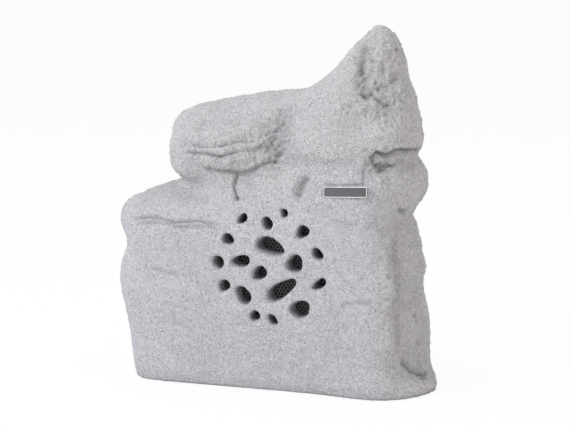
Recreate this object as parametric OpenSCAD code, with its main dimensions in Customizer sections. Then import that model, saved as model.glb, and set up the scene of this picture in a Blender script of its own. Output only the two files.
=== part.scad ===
// Garden speaker in a cast artificial rock, in millimetres.
// +Z is up, the sound holes face -Y, and the origin is on the ground under the middle of the rock.

/* [Rock] */
// Overall width of the rock
rock_w = 414; // [380:1:500]
// Overall depth of the rock
rock_d = 210; // [180:1:260]
// Overall height of the rock
rock_h = 465; // [390:1:560]
// Wall of the casting
wall = 8; // [6:0.5:10]
// Depth of the sound holes, from the face to the flat seat behind it
tunnel_depth = 26; // [20:1:32]
// Gap between the rock's lower edge and the ground
rim_gap = 1.5; // [1:0.5:3]

/* [Sound holes] */
// Radius of the field of sound holes
field_r = 76; // [66:1:82]
// How much wider a sound hole is at its mouth than at its back
flare = 1.2; // [1.1:0.05:1.6]
// Hole diameter of the perforated grille
perforation_d = 3.3; // [2.5:0.1:3.5]
// Pitch of the grille's holes
perforation_pitch = 4.6; // [4.2:0.1:6]
// Thickness of the grille sheet
grille_t = 1.2; // [0.8:0.1:2]

/* [Driver] */
// Height of the driver's axis above the ground
axis_z = 166; // [150:1:190]
// Sideways place of the driver's axis
axis_x = 15; // [-10:1:30]
// Outer radius of the driver's flange
flange_r = 83; // [70:1:86]
// Depth of the driver, from the back of its flange to its front plate
basket_depth = 44; // [38:1:56]
// Radius of the magnet
magnet_r = 45; // [38:1:52]
// Thickness of the magnet
magnet_t = 15; // [10:1:20]
// Radius of the voice coil former
coil_r = 16; // [12.5:0.5:19]
// Thickness of the baffle board
board_t = 12; // [9:1:18]

/* [Base] */
// Thickness of the base plate
plate_t = 4; // [3:0.5:6]
// Height of the rubber feet
foot_h = 8; // [6:0.5:12]
// Diameter of the rubber feet
foot_d = 28; // [20:1:36]
// Width of the ledge that the base plate is screwed to
ledge_w = 16; // [14:1:20]

/* [Transformer] */
// Width of the transformer's laminations
core_w = 57; // [48:1:66]
// Stack height of the laminations
core_stack = 20; // [16:1:28]

/* [Cable entry] */
// Diameter of the cable that the gland takes
cable_d = 7; // [5:0.5:8]
// Sideways place of the cable entry
cable_x = -60; // [-90:1:-40]

/* [Badge] */
// Width of the bare badge plate
badge_w = 57; // [40:1:70]
// Height of the bare badge plate
badge_h = 13.5; // [10:0.5:18]

/* [Hidden] */
$fn = 64;
hull_fn = 12;

// The rock's stations below are drawn at this size and scaled to the driving one
drawn_w = 414;
drawn_d = 210;
drawn_h = 465;
scale_x = rock_w / drawn_w;
scale_y = rock_d / drawn_d;
scale_z = rock_h / drawn_h;

// Outlines of the rock as [height, place]: its left and right edges seen from the front
left_edge = [
    [0, -187], [20, -191], [60, -194], [90, -199], [113, -205], [133, -208], [156, -205], [177, -195],
    [186, -196], [204, -207], [218, -208], [229, -205], [238, -196], [245, -177], [250, -150], [254, -131],
    [260, -130], [282, -142], [314, -149], [330, -154], [341, -156], [348, -150], [354, -134], [360, -102],
    [365, -68], [369, -32], [374, 6], [385, 38], [406, 69], [432, 91], [450, 106], [459, 116], [465, 127]
];
right_edge = [
    [0, 176], [24, 178], [63, 180], [90, 177], [116, 172], [136, 172], [147, 177], [158, 172], [182, 166],
    [201, 164], [217, 157], [235, 170], [248, 180], [275, 182], [291, 173], [299, 166], [304, 174],
    [320, 180], [346, 178], [374, 171], [403, 159], [430, 155], [448, 151], [459, 145], [465, 133]
];
// Its front and back, seen from the side
front_edge = [
    [0, -84], [12, -90], [60, -96], [120, -100], [180, -101], [220, -98], [260, -92], [300, -85],
    [340, -75], [380, -61], [410, -48], [435, -37], [450, -27], [460, -16], [465, -6]
];
back_edge = [
    [0, 98], [12, 103], [60, 107], [120, 105], [200, 99], [260, 90], [320, 78], [370, 64], [410, 48],
    [440, 34], [455, 22], [465, 6]
];
// How square the plan is at each height, as the exponent of a superellipse
squareness = [[0, 7.5], [200, 6], [250, 5], [300, 4.2], [360, 3.2], [420, 2.6], [465, 2.2]];

// Height at which the upper left block's top starts to fall away towards the front, by place
shoulder_edge = [
    [-150, 318], [-110, 326], [-50, 328], [-10, 336], [30, 360], [60, 395], [90, 440], [130, 520]
];
shoulder_fall = 2.1;
shoulder_round = 12;

// Lobes and hollows: the middle, the reach and the sideways push of each
lobes = [
    // hollow between the lower and the upper left blocks
    [[-135, -92, 252], [66, 70, 16], [0, 40]],
    // belly of the upper left block
    [[-85, -80, 306], [62, 60, 24], [0, -14]],
    // its right end, which stops short
    [[-26, -80, 308], [26, 50, 20], [0, -8]],
    // its left end, which turns away
    [[-150, -85, 318], [26, 50, 34], [4, 12]],
    // hollow to the right of that block
    [[25, -85, 320], [20, 55, 36], [0, 16]],
    // dip over the sound holes
    [[-10, -90, 268], [46, 50, 15], [0, 7]],
    // plain swell between the sound holes and the head
    [[84, -80, 320], [40, 55, 56], [0, -5]],
    // hollow over the plate's place
    [[112, -90, 283], [30, 50, 12], [0, 2]],
    // right cheek of the head, which turns to the right
    [[164, -45, 405], [24, 42, 50], [2, 9]],
    // brow of the head
    [[100, -60, 385], [30, 45, 34], [0, -6]],
    // front of the head over the cleft
    [[160, -66, 328], [26, 50, 20], [0, -6]],
    // side boulder, set back from the face
    [[182, -95, 262], [28, 62, 40], [-2, 34]],
    // notch under the side boulder
    [[186, -60, 221], [22, 80, 9], [-10, 12]],
    // ridge between the face and the right side
    [[170, -100, 130], [22, 50, 90], [0, -7]],
    // hollows in the right side
    [[184, 10, 120], [36, 50, 26], [-9, 0]],
    [[184, 0, 60], [36, 60, 26], [-4, 0]],
    // foot that spreads at the lower right corner
    [[190, -16, 4], [46, 60, 20], [36, 0]],
    // forward swell over that foot
    [[150, -90, 4], [56, 40, 24], [0, -13]],
    // shallow hollows low on the face
    [[-120, -100, 70], [60, 50, 40], [0, 5]],
    [[60, -100, 50], [70, 50, 26], [0, 4]],
    [[115, -100, 175], [30, 50, 40], [0, 4]],
    // left block's face, fuller on top
    [[-140, -100, 200], [50, 50, 26], [0, -4]],
    // back lobes and hollows
    [[-90, 105, 150], [80, 60, 70], [0, -9]],
    [[90, 100, 190], [50, 60, 60], [0, -12]],
    [[-20, 100, 60], [90, 60, 40], [0, -3]],
    [[-60, 90, 270], [70, 60, 34], [0, -10]],
    [[120, 80, 300], [50, 60, 30], [0, -12]]
];

// Valleys: the ends, the half width and the sideways push of each
valleys = [
    // cleft under the head, rising to the right
    [[142, -84, 290], [190, -40, 304], 12, [-4, 12]],
    // underside of the upper left block
    [[-88, -95, 283], [-20, -92, 277], 12, [0, 6]],
    [[-20, -92, 277], [40, -84, 296], 12, [0, 6]],
    // crack down from its underside
    [[-34, -95, 270], [-31, -95, 250], 10, [0, 3]],
    // pit over the sound holes
    [[60, -90, 290], [50, -92, 262], 11, [0, 7]],
    // line under the top of the lower left block
    [[-190, -95, 224], [-60, -100, 222], 10, [0, 4]],
    // valley down the middle of the head
    [[126, -50, 446], [128, -62, 392], 12, [0, 7]],
    // crescent at its foot
    [[130, -62, 386], [172, -44, 376], 10, [0, 5]],
    // crease beside the foot
    [[170, -96, 44], [184, -60, 20], 10, [-4, 7]]
];

// Columns round the rock and length of the steps up it, for the outer face and the cavity
outer_lap = [42, 10, 11];
outer_step = 12.1;
cavity_lap = [16, 5, 8];
cavity_step = 22;
edge_share = 0.4;
fine_step = 1.5;
round_over = 4;

// Sound holes as [across, up, length, width, tilt] about the driver's axis
sound_holes = [
    [-38, 57, 14, 11, 45], [18, 67, 12, 11, 90], [-4, 53, 18, 13, -40], [43, 45, 21, 14, 55],
    [-57, 30, 17, 13, 0], [0, 24, 38, 22, -5], [63, 18, 16, 13, -45], [-70, 0, 17, 15, 70],
    [-39, 3, 23, 17, 10], [33, 4, 23, 21, 0], [-14, -11, 24, 15, 35], [-62, -30, 16, 15, -50],
    [-36, -41, 23, 20, -60], [14.5, -31, 41, 21, 33], [66, -20, 19, 12, 35], [40, -54, 30, 20, 25],
    [-21, -67, 15, 13, 0], [3, -70, 16, 11, -40]
];
drawn_field_r = 76;
hole_back = 0.9;
mouth_margin = 14;
field_scale = field_r / drawn_field_r;

clearance = 0.3;
face_y = -101 * scale_y;
seat_y = face_y + tunnel_depth;
seat_r = flange_r + 22;
pad_reach = 60;

// Depths behind the seat, along the driver's axis
board_at = grille_t;
gasket_at = board_at + board_t;
gasket_t = 2;
flange_at = gasket_at + gasket_t;
flange_t = 2.5;
plate_at = flange_at + flange_t + basket_depth;
front_plate_t = 6;
magnet_at = plate_at + front_plate_t;
yoke_at = magnet_at + magnet_t;
yoke_t = 6;

grille_r = flange_r + 1;
perforated_r = field_r + 2;
board_r = flange_r + 17;
board_hole_r = flange_r - 9;
board_screw_r = (board_r + flange_r) / 2 + 1;
flange_hole_r = flange_r - 14;
driver_screw_r = flange_r - 4.5;

basket_t = 1.6;
basket_windows = 4;
window_w = 46;
basket_floor = plate_at - flange_at;

// The moving part of the driver
cone_t = 0.9;
cone_r = flange_r - 27;
cone_at = flange_at - 0.6;
roll_r = (flange_hole_r - cone_r) / 2;
surround_t = 0.8;
former_t = 0.3;
winding_t = 0.7;
cone_neck_at = plate_at - 16;
spider_at = plate_at - 7;
spider_r = magnet_r - 7;
spider_t = 0.6;
cap_r = coil_r + 5;
cap_at = cone_neck_at - 5;
gap_inner = 0.5;
gap_outer = 0.7;
pole_r = coil_r - gap_inner;
gap_r = coil_r + former_t + winding_t + gap_outer;

// Transformer, as drawn by the usual proportions of its laminations
core_x = -108 * scale_x;
core_y = -8 * scale_y;
core_leg = core_w / 6;
core_h = core_w * 5 / 6;
strap_t = 1.5;
strap_foot = 12;

// Terminal block
block_x = -62 * scale_x;
block_y = 38 * scale_y;
ways = 6;
way_w = 8;
block_d = 18;
block_h = 14;
block_ear = 9;
ear_t = 4;
cell_depth = 6;

lead_r = 1.8;
tag_angle = 67.5;
tag_block = [12, 3, 6];

base_z = foot_h;
gasket_rubber_t = 1;
ledge_z = base_z + plate_t + gasket_rubber_t;
ledge_t = 12;
ledge_slope = 14;
plate_gap = 1;
plate_level = 12;
foot_shift = 14;
roof_t = 34;
cavity_low = (ledge_z + ledge_t + ledge_slope) / scale_z;
cavity_high = drawn_h - roof_t;

screw_r = 2;
screw_slack = 0.1;
screw_head_r = 3.8;
screw_head_t = 2.6;
thread_end = 0.5;

pocket_half = 21;
pocket_z = 32;
pocket_depth = 32;
pocket_y = 104 * scale_y - pocket_depth;
gland_bore_r = cable_d / 2 + 1.3;
seal_r = gland_bore_r + 1.2;
gland_thread_r = seal_r + 2;
gland_hex_r = gland_thread_r + 4;
gland_flange_t = 5;
seal_at = 2;
seal_l = 10;
gland_nut_l = 15;
locknut_t = 4;

badge_x = 113 * scale_x;
badge_z = 263 * scale_z;
badge_t = 2.4;
badge_lean = 13;
badge_turn = -2.5;
badge_gap = 1.2;
badge_depth = 2.8;
badge_y = -92.3 * scale_y + badge_depth;

stone = "#c4c3c8";
steel = "#8f9194";
black = "#26262a";

// A table of [height, place] read at one height, with its corners rounded over
function eased(z, table) =
    (lookup(z - round_over, table) + 2 * lookup(z - round_over / 2, table) + 2 * lookup(z, table)
    + 2 * lookup(z + round_over / 2, table) + lookup(z + round_over, table)) / 8;

// The same, read at the height where the wall of a given thickness is safest
function inset_low(z, table, t) =
    max(eased(z - t, table), eased(z - t / 2, table), eased(z, table), eased(z + t / 2, table),
        eased(z + t, table)) + t;
function inset_high(z, table, t) =
    min(eased(z - t, table), eased(z - t / 2, table), eased(z, table), eased(z + t / 2, table),
        eased(z + t, table)) - t;

// Points round a unit square, anticlockwise from its front left corner
function lap(counts) = concat(
    [for (i = [0:counts[0] - 1]) [2 * i / counts[0] - 1, -1]],
    [for (i = [0:counts[1] - 1]) [1, 2 * i / counts[1] - 1]],
    [for (i = [0:counts[2] - 1]) [1 - 2 * i / counts[2], 1]],
    [for (i = [0:counts[1] - 1]) [-1, 1 - 2 * i / counts[1]]]
);

function on_superellipse(q, n) = q / pow(pow(abs(q.x), n) + pow(abs(q.y), n), 1 / n);

function reach(p, lobe) =
    let (d = [for (i = [0:2]) (p[i] - lobe[0][i]) / lobe[1][i]]) exp(-d * d);

function off_line(p, from, to) =
    let (
        along = to - from,
        share = max(0, min(1, (p - from) * along / (along * along)))
    )
    norm(p - from - share * along);

function pushed(p) =
    [for (lobe = lobes) 1] * [for (lobe = lobes) reach(p, lobe) * lobe[2]];

// Under the outer face a valley is wider, so that the wall keeps its thickness beside it
function creased(p, t) =
    [for (line = valleys) 1]
    * [for (line = valleys) exp(-pow(off_line(p, line[0], line[1]) / (line[2] + 1.6 * t), 2)) * line[3]];

// Zero below zero and the value itself above it, with a rounded corner between
function soft(v) = (v + sqrt(v * v + shoulder_round * shoulder_round)) / 2;

// How far a point falls back where the upper left block's top slopes to the front
function shoulder(x, z, front_share) =
    shoulder_fall * front_share * soft(z - lookup(x, shoulder_edge));

// One level of the rock as a closed line, at a height and a depth under the outer face
function section(z, t, counts) =
    let (
        left = t > 0 ? inset_low(z, left_edge, t) : eased(z, left_edge),
        right = t > 0 ? inset_high(z, right_edge, t) : eased(z, right_edge),
        front = t > 0 ? inset_low(z, front_edge, t) : eased(z, front_edge),
        back = t > 0 ? inset_high(z, back_edge, t) : eased(z, back_edge),
        middle = [(left + right) / 2, (front + back) / 2],
        half = [max(1, (right - left) / 2), max(1, (back - front) / 2)]
    )
    [for (q = lap(counts))
        let (
            u = on_superellipse(q, lookup(z, squareness)),
            x = middle.x + half.x * u.x,
            front_share = (1 - u.y) / 2,
            slope = shoulder(x, z + (t > 0 ? t : 0), front_share),
            y = min(middle.y + half.y * u.y + slope, max(back - 1, middle.y + half.y * u.y)),
            face = [x + t * u.x, y + t * u.y, z],
            push = pushed(face) + creased(face, t)
        )
        [(x + push.x) * scale_x, (y + push.y) * scale_y, z * scale_z]];

// Heights of the levels, closer where the outline runs sideways
function travel(z) = norm([
    fine_step,
    edge_share * (eased(z + fine_step, left_edge) - eased(z, left_edge)),
    edge_share * (eased(z + fine_step, right_edge) - eased(z, right_edge)),
    edge_share * (eased(z + fine_step, front_edge) - eased(z, front_edge))
]);
function climb(low, high) =
    [for (z = low, s = 0; z < high + fine_step; s = s + travel(z), z = z + fine_step) [s, min(z, high)]];
function levels(low, high, step) =
    let (
        path = climb(low, high),
        length = path[len(path) - 1][0],
        count = ceil(length / step)
    )
    [for (i = [0:count]) lookup(length * i / count, path)];

// Places that follow from the rock's section, where the base plate's edge runs and above it
plate_rim = section(plate_level, wall + plate_gap, cavity_lap);
plate_low = [min([for (p = plate_rim) p.x]), min([for (p = plate_rim) p.y])];
plate_high = [max([for (p = plate_rim) p.x]), max([for (p = plate_rim) p.y])];
foot_inset = ledge_w + foot_d / 2 + 6;
foot_places = [
    for (
        x = [plate_low.x + foot_inset, plate_high.x - foot_inset - foot_shift],
        y = [plate_low.y + foot_inset, plate_high.y - foot_inset]
    )
        [x, y]
];

// Screws through the ledge: shares of its width and depth, which keep clear of the cable recess
screw_shares = [
    [-0.62, -1], [0, -1], [0.62, -1], [1, 0.15], [0.62, 1], [0.12, 1], [-0.72, 1], [-1, 0.1]
];
ledge_line = section(plate_level, wall + plate_gap + ledge_w / 2, cavity_lap);
ledge_low = [min([for (p = ledge_line) p.x]), min([for (p = ledge_line) p.y])];
ledge_high = [max([for (p = ledge_line) p.x]), max([for (p = ledge_line) p.y])];
base_screw_places = [
    for (share = screw_shares)
        let (u = on_superellipse(share, 6), half = (ledge_high - ledge_low) / 2 - [3, 3])
        (ledge_low + ledge_high) / 2 + [half.x * u.x, half.y * u.y]
];

// Fixing holes of the transformer's strap and of the terminal block
strap_holes = [-(core_w / 2 + strap_foot - 5), core_w / 2 + strap_foot - 5];
ear_holes = [-(ways * way_w / 2 + block_ear / 2), ways * way_w / 2 + block_ear / 2];

// Routes of the leads, from end to end
tag_reach = spider_r + 3 + basket_t + clearance + tag_block.y + 5;
tag_place = [
    axis_x + cos(tag_angle) * tag_reach,
    seat_y + spider_at + tag_block.z / 2 + 0.5,
    axis_z - sin(tag_angle) * tag_reach - 0.9
];
winding_half = core_stack / 2 + core_leg - 1;
plate_top = base_z + plate_t;
speaker_route = [
    [core_x + 8, core_y - winding_half - 0.7, plate_top + 24],
    [core_x + 8, core_y - winding_half - 9, plate_top + 24],
    [core_x + 24, core_y - winding_half - 12, plate_top + 14],
    [core_x + 60, core_y - 22, plate_top + 5],
    [tag_place.x - 40, -16, plate_top + 4],
    [tag_place.x - 12, -14, plate_top + 12],
    [tag_place.x, tag_place.y, plate_top + 38],
    [tag_place.x, tag_place.y, tag_place.z - 25],
    tag_place
];
line_route = [
    [core_x + 2, core_y + winding_half + 0.2, plate_top + 24],
    [core_x + 3, core_y + winding_half + 8, plate_top + 22],
    [core_x + 8, core_y + winding_half + 14, plate_top + 12],
    [block_x - 30, block_y - block_d / 2 - 10, plate_top + 5],
    [block_x - 14, block_y - block_d / 2 - 8, plate_top + 4],
    [block_x - 12, block_y - block_d / 2 - 0.3, plate_top + 4]
];

// A closed solid through a stack of lines with as many points each
module skin(lines) {
    n = len(lines[0]);
    m = len(lines);
    points = [for (line = lines) each line];
    sides = [for (i = [0:m - 2], j = [0:n - 1])
        let (a = i * n + j, b = i * n + (j + 1) % n, c = b + n, d = a + n)
        each [[d, c, b], [d, b, a]]];
    floor_face = [for (j = [0:n - 1]) j];
    roof_face = [for (j = [n - 1:-1:0]) (m - 1) * n + j];
    polyhedron(points, concat([floor_face], sides, [roof_face]), convexity = 10);
}

// Turns a child so that its +Z runs from the seat straight back into the rock
module on_axis(depth) {
    translate([axis_x, seat_y + depth, axis_z]) rotate([-90, 0, 0]) children();
}

module ring(outer, inner, t) {
    difference() {
        cylinder(r = outer, h = t);
        translate([0, 0, -1]) cylinder(r = inner, h = t + 2);
    }
}

module spread(r, count, start) {
    for (i = [0:count - 1]) rotate(start + i * 360 / count) translate([r, 0, 0]) children();
}

// Pan-head screw with its head's underside at zero and its shank along -Z
module screw(length) {
    union() {
        translate([0, 0, -length]) cylinder(r = screw_r - screw_slack, h = length + 0.5, $fn = 24);
        cylinder(r = screw_head_r, h = screw_head_t, $fn = 24);
    }
}

// Clearance hole for such a screw through a sheet of a given thickness
module screw_hole(t) {
    translate([0, 0, -1]) cylinder(r = screw_r + clearance, h = t + 2, $fn = 24);
}

module outer_rock() {
    skin([for (z = levels(rim_gap, drawn_h, outer_step)) section(z, 0, outer_lap)]);
}

module cavity() {
    skin(concat(
        [section(ledge_z / scale_z - 0.5, wall + ledge_w, cavity_lap)],
        [section((ledge_z + ledge_t) / scale_z, wall + ledge_w, cavity_lap)],
        [for (z = levels(cavity_low, cavity_high, cavity_step)) section(z, wall, cavity_lap)]
    ));
}

// Outline of the base plate's recess in the rock's lower edge, shrunk by a gap
module plate_outline(gap) {
    difference() {
        polygon([for (p = section(plate_level, wall + gap, cavity_lap)) [p.x, p.y]]);
        translate([cable_x - pocket_half - wall - gap, pocket_y - wall - gap])
            square([2 * (pocket_half + wall + gap), 4 * pocket_depth]);
    }
}

module sound_hole(hole) {
    along = hole[2] / 2;
    across = hole[3] / 2;
    at = [hole[0], hole[1]] * field_scale;
    translate([at.x, -at.y, 0]) rotate(-hole[4]) hull() {
        translate([0, 0, -tunnel_depth - mouth_margin]) linear_extrude(0.1)
            blob(along * flare, across * flare, at.x);
        translate([0, 0, 1]) linear_extrude(0.1)
            blob(along * hole_back, across * hole_back, at.x);
    }
}

// Uneven oval, whose swellings the seed moves round
module blob(along, across, seed) {
    polygon([for (i = [0:hull_fn - 1])
        let (
            a = 360 * (i + 0.5) / hull_fn,
            r = 1 + 0.12 * sin(2 * a + 7 * seed) + 0.09 * sin(3 * a + 31 * seed)
        )
        [along * r * cos(a), across * r * sin(a)]]);
}

module pocket(extra) {
    translate([cable_x, pocket_y - extra, 0]) union() {
        translate([0, 0, pocket_z]) rotate([-90, 0, 0])
            cylinder(r = pocket_half + extra, h = 4 * pocket_depth, $fn = 48);
        translate([-pocket_half - extra, 0, -1])
            cube([2 * (pocket_half + extra), 4 * pocket_depth, pocket_z + 1]);
    }
}

module on_badge() {
    translate([badge_x, badge_y, badge_z]) rotate([90 - badge_lean, 0, 0]) rotate(-badge_turn) children();
}

module rock_shell() {
    color(stone) difference() {
        outer_rock();
        difference() {
            cavity();
            on_axis(-pad_reach) cylinder(r = seat_r, h = pad_reach, $fn = 48);
            pocket(wall);
        }
        translate([0, 0, -1]) linear_extrude(ledge_z + 1) plate_outline(0);
        pocket(0);
        on_axis(0) cylinder(r = board_r + 2, h = gasket_at + 1, $fn = 48);
        for (hole = sound_holes) on_axis(0) sound_hole(hole);
        on_axis(-14) spread(board_screw_r, 4, 45) cylinder(r = screw_r, h = 20, $fn = 16);
        translate([cable_x, pocket_y - 2 * wall, pocket_z]) rotate([-90, 0, 0])
            cylinder(r = gland_thread_r + clearance, h = 3 * wall, $fn = 48);
        for (p = base_screw_places) translate([p.x, p.y, 0])
            cylinder(r = screw_r, h = ledge_z + ledge_t - 3, $fn = 16);
        on_badge() linear_extrude(20) offset(r = 2, $fn = 24)
            square([badge_w + 2 * badge_gap - 4, badge_h + 2 * badge_gap - 4], center = true);
    }
}

// The perforated zone as one flat figure, its holes on a staggered pitch
module grille_mesh() {
    rows = ceil(perforated_r / (perforation_pitch * sin(60)));
    columns = ceil(perforated_r / perforation_pitch);
    color(black) on_axis(0) linear_extrude(grille_t) difference() {
        circle(r = grille_r);
        for (row = [-rows:rows], column = [-columns:columns]) {
            place = perforation_pitch * [column + 0.5 * abs(row % 2), row * sin(60)];
            if (norm(place) < perforated_r) translate(place) circle(d = perforation_d, $fn = 16);
        }
    }
}

module baffle_board() {
    color("#4a4038") on_axis(board_at) difference() {
        cylinder(r = board_r, h = board_t);
        translate([0, 0, -1]) cylinder(r = board_hole_r, h = board_t + 2);
        spread(board_screw_r, 4, 45) screw_hole(board_t);
        translate([0, 0, 4]) spread(driver_screw_r, 4, 0) cylinder(r = screw_r, h = board_t, $fn = 24);
    }
}

module baffle_screws() {
    color(steel) on_axis(gasket_at) spread(board_screw_r, 4, 45) screw(board_t + 10);
}

module driver_gasket() {
    color("#202020") on_axis(gasket_at) difference() {
        ring(flange_r, board_hole_r, gasket_t);
        spread(driver_screw_r, 4, 0) screw_hole(gasket_t);
    }
}

// Pressed steel basket: a flange, a spoked cone and the ring that carries the magnet
module driver_basket() {
    neck_r = spider_r + 3;
    shelf = spider_at - flange_at;
    color("#3b3c3f") on_axis(flange_at) difference() {
        rotate_extrude() polygon([
            [flange_hole_r, 0], [flange_r, 0], [flange_r, flange_t], [flange_hole_r + 2, flange_t],
            [neck_r + basket_t, shelf], [neck_r + basket_t, basket_floor],
            [gap_r + 1, basket_floor], [gap_r + 1, basket_floor - basket_t],
            [neck_r, basket_floor - basket_t], [neck_r, shelf], [spider_r - 3, shelf],
            [spider_r - 3, shelf - basket_t], [neck_r, shelf - basket_t], [flange_hole_r, flange_t]
        ]);
        spread(driver_screw_r, 4, 0) screw_hole(flange_t);
        for (i = [0:basket_windows - 1]) rotate(22.5 + i * 360 / basket_windows)
            translate([0, -window_w / 2, flange_t + 5])
                cube([flange_r, window_w, shelf - flange_t - 9]);
    }
}

module surround() {
    color("#1c1c1e") on_axis(flange_at) rotate_extrude() difference() {
        union() {
            translate([cone_r + roll_r, -surround_t]) circle(r = roll_r);
            translate([cone_r - 5, -surround_t]) square([5.5, surround_t]);
            translate([flange_hole_r - 0.5, -surround_t]) square([5, surround_t]);
        }
        translate([cone_r + roll_r, -surround_t]) circle(r = roll_r - surround_t);
        translate([0, 0]) square([flange_r, flange_r]);
        translate([cone_r + 0.5, -surround_t - 0.001]) square([flange_hole_r - cone_r - 1, 2 * surround_t]);
    }
}

module cone() {
    neck_r = coil_r + former_t + 0.2;
    neck = cone_neck_at - flange_at;
    color("#2a2a2c") on_axis(flange_at) rotate_extrude() polygon([
        [cone_r - 0.5, 0], [cone_r - 0.5, cone_t], [cone_r - 5, cone_t],
        [neck_r, neck + cone_t], [neck_r, neck - 0.6], [cone_r - 5, 0]
    ]);
}

module dust_cap() {
    dome_r = 1.25 * cap_r;
    sink = sqrt(dome_r * dome_r - cap_r * cap_r);
    color("#2a2a2c") on_axis(cap_at) translate([0, 0, sink]) difference() {
        sphere(r = dome_r);
        sphere(r = dome_r - cone_t);
        translate([-2 * cap_r, -2 * cap_r, -sink]) cube(4 * cap_r);
    }
}

// Corrugated centring disc
module spider() {
    waves = 4;
    wave = (spider_r - coil_r - 5) / waves;
    start = coil_r + former_t + 0.2;
    end = start + 2 + waves * wave - spider_t;
    color("#b98d4a") on_axis(spider_at - basket_t - spider_t) rotate_extrude() union() {
        translate([start, 0]) square([2, spider_t]);
        for (i = [0:waves - 1]) translate([start + 2 + i * wave, 0]) {
            translate([0, 0]) square([wave / 2 - spider_t, spider_t]);
            translate([wave / 2 - spider_t, -2]) square([spider_t, 2 + spider_t]);
            translate([wave / 2 - spider_t, -2]) square([wave / 2, spider_t]);
            translate([wave - spider_t, -2]) square([spider_t, 2 + spider_t]);
        }
        translate([end, 0]) square([spider_r + 2 - end, spider_t]);
    }
}

module voice_coil() {
    color("#b4672f") on_axis(cone_neck_at + cone_t + 0.2) union() {
        ring(coil_r + former_t, coil_r, magnet_at + 9 - cone_neck_at);
        translate([0, 0, plate_at - 2 - cone_neck_at])
            ring(coil_r + former_t + winding_t, coil_r + former_t / 2, 11);
    }
}

module front_plate() {
    color(steel) on_axis(plate_at) ring(magnet_r - 3, gap_r, front_plate_t);
}

module magnet_ring() {
    color("#2f2f31") on_axis(magnet_at) ring(magnet_r, gap_r + 4, magnet_t);
}

// Back plate and pole in one turned piece, with a vent through the pole
module back_yoke() {
    color(steel) on_axis(0) difference() {
        union() {
            translate([0, 0, yoke_at]) cylinder(r = magnet_r - 3, h = yoke_t);
            translate([0, 0, plate_at]) cylinder(r = pole_r, h = magnet_t + front_plate_t + 1);
        }
        translate([0, 0, plate_at - 1]) cylinder(r = pole_r / 3, h = magnet_t + front_plate_t + yoke_t + 2);
    }
}

module driver_screws() {
    color(steel) on_axis(flange_at + flange_t) spread(driver_screw_r, 4, 0)
        screw(flange_t + gasket_t + board_t - 5);
}

// Solder tags on the neck of the basket
module driver_terminals() {
    color("#c9a25a") on_axis(spider_at + 0.5) rotate(tag_angle)
        translate([spider_r + 3 + basket_t + clearance, 0, 0]) union() {
            translate([0, -tag_block.x / 2, 0]) cube([tag_block.y, tag_block.x, tag_block.z]);
            for (side = [-1, 1]) translate([tag_block.y - 1, side * 3.5 - 1.25, tag_block.z / 2 - 0.4])
                cube([6, 2.5, 0.8]);
        }
}

module on_core() {
    translate([core_x, core_y, base_z + plate_t]) children();
}

// Laminations with two windows, seen from the front
module transformer_core() {
    color("#6c6e72") on_core() translate([0, core_stack / 2, core_h / 2]) rotate([90, 0, 0])
        linear_extrude(core_stack) difference() {
            square([core_w, core_h], center = true);
            for (side = [-1, 1]) translate([side * 1.5 * core_leg, 0])
                square([core_leg, core_h - 2 * core_leg], center = true);
        }
}

module transformer_winding() {
    tall = core_h - 2 * core_leg - 2 * clearance;
    color("#b8862f") on_core() translate([0, 0, core_leg + clearance]) linear_extrude(tall) difference() {
        square([4 * core_leg - 1, core_stack + 2 * core_leg - 2], center = true);
        square([2 * core_leg + 2 * clearance, core_stack + 2 * clearance], center = true);
    }
}

// Strap over the laminations, with two feet
module transformer_bracket() {
    half = core_w / 2 + 0.1;
    top = core_h + 0.1;
    color(steel) on_core() difference() {
        translate([0, (core_stack - 4) / 2, 0]) rotate([90, 0, 0]) linear_extrude(core_stack - 4) polygon([
            [-half - strap_foot, 0], [-half, 0], [-half, top], [half, top], [half, 0], [half + strap_foot, 0],
            [half + strap_foot, strap_t], [half + strap_t, strap_t], [half + strap_t, top + strap_t],
            [-half - strap_t, top + strap_t], [-half - strap_t, strap_t], [-half - strap_foot, strap_t]
        ]);
        for (x = strap_holes) translate([x, 0, -1]) cylinder(r = screw_r, h = strap_t + 2, $fn = 24);
    }
}

module transformer_screws() {
    color(steel) on_core() for (x = strap_holes) translate([x, 0, strap_t])
        screw(strap_t + plate_t);
}

module on_block() {
    translate([block_x, block_y, base_z + plate_t]) children();
}

// Moulded block with a row of open cells and a fixing ear at each end
module terminal_block() {
    long = ways * way_w;
    color("#e9e6dc") on_block() difference() {
        union() {
            translate([-long / 2, -block_d / 2, 0]) cube([long, block_d, block_h]);
            translate([-long / 2 - block_ear, -block_d / 4, 0])
                cube([long + 2 * block_ear, block_d / 2, ear_t]);
        }
        on_ways() for (side = [-1, 1]) translate([0, side * block_d / 4, block_h - cell_depth])
            cylinder(r = way_w / 2 - 1.2, h = cell_depth + 1, $fn = 24);
        on_ways() translate([0, -block_d / 2 - 1, 4]) rotate([-90, 0, 0])
            cylinder(r = 1.7, h = block_d + 2, $fn = 24);
        for (x = ear_holes) translate([x, 0, -1]) cylinder(r = screw_r, h = ear_t + 2, $fn = 24);
    }
}

module on_ways() {
    for (i = [0:ways - 1]) translate([(i - (ways - 1) / 2) * way_w, 0, 0]) children();
}

module terminal_screws() {
    color("#cfae6a") on_block() {
        on_ways() for (side = [-1, 1]) translate([0, side * block_d / 4, block_h - cell_depth])
            cylinder(r = way_w / 2 - 1.4, h = 3, $fn = 24);
        for (x = ear_holes) translate([x, 0, ear_t]) screw(ear_t + plate_t - thread_end);
    }
}

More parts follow.
